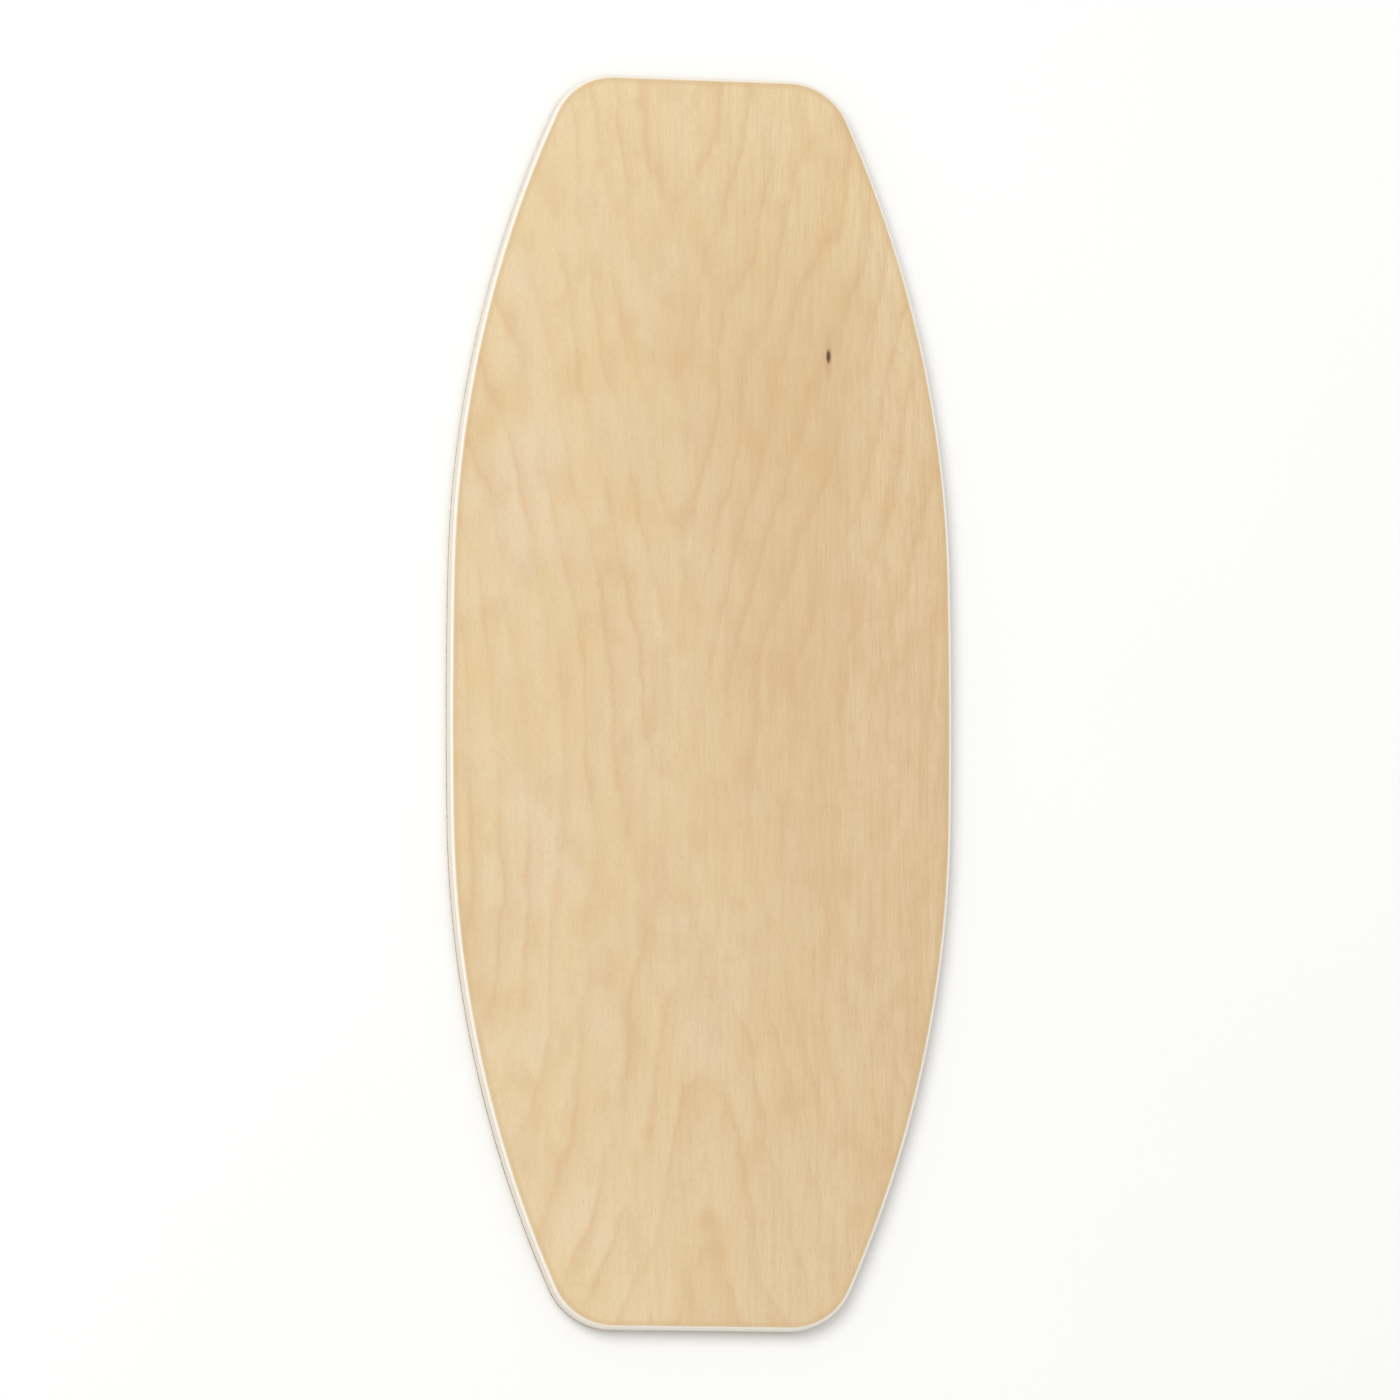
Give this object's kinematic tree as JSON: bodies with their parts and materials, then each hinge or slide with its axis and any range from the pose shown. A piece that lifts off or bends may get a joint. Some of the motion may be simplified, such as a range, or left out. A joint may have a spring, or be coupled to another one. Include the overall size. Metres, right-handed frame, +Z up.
{
  "type": "balance board",
  "caption": "Flat double-ended balance board with blunt rounded ends: birch plywood with one softly rounded face and a cork sheet on the other.",
  "frame": {"origin": "middle of the cork's underside, on the surface that the board lies on", "axes": "+Z up out of the birch face, X along the board's length, Y across its width; both ends are alike"},
  "size_m": [0.79, 0.32, 0.0152],
  "materials": {
    "face_birch": "rotary-cut birch veneer, sanded and sealed with a clear satin lacquer",
    "long_birch": "birch veneer with its grain along the board, sanded and sealed at the edge",
    "cross_birch": "birch veneer with its grain across the board, sanded and sealed at the edge",
    "cork": "fine-grain agglomerated cork, sanded and left bare"
  },
  "bodies": {
    "root": {"cork_sheet": "cork", "back_veneer": "long_birch", "core_veneer_1": "cross_birch", "core_veneer_2": "long_birch", "core_veneer_3": "cross_birch", "core_veneer_4": "long_birch", "core_veneer_5": "cross_birch", "core_veneer_6": "long_birch", "core_veneer_7": "cross_birch", "face_veneer": "face_birch"}
  },
  "joints": []
}
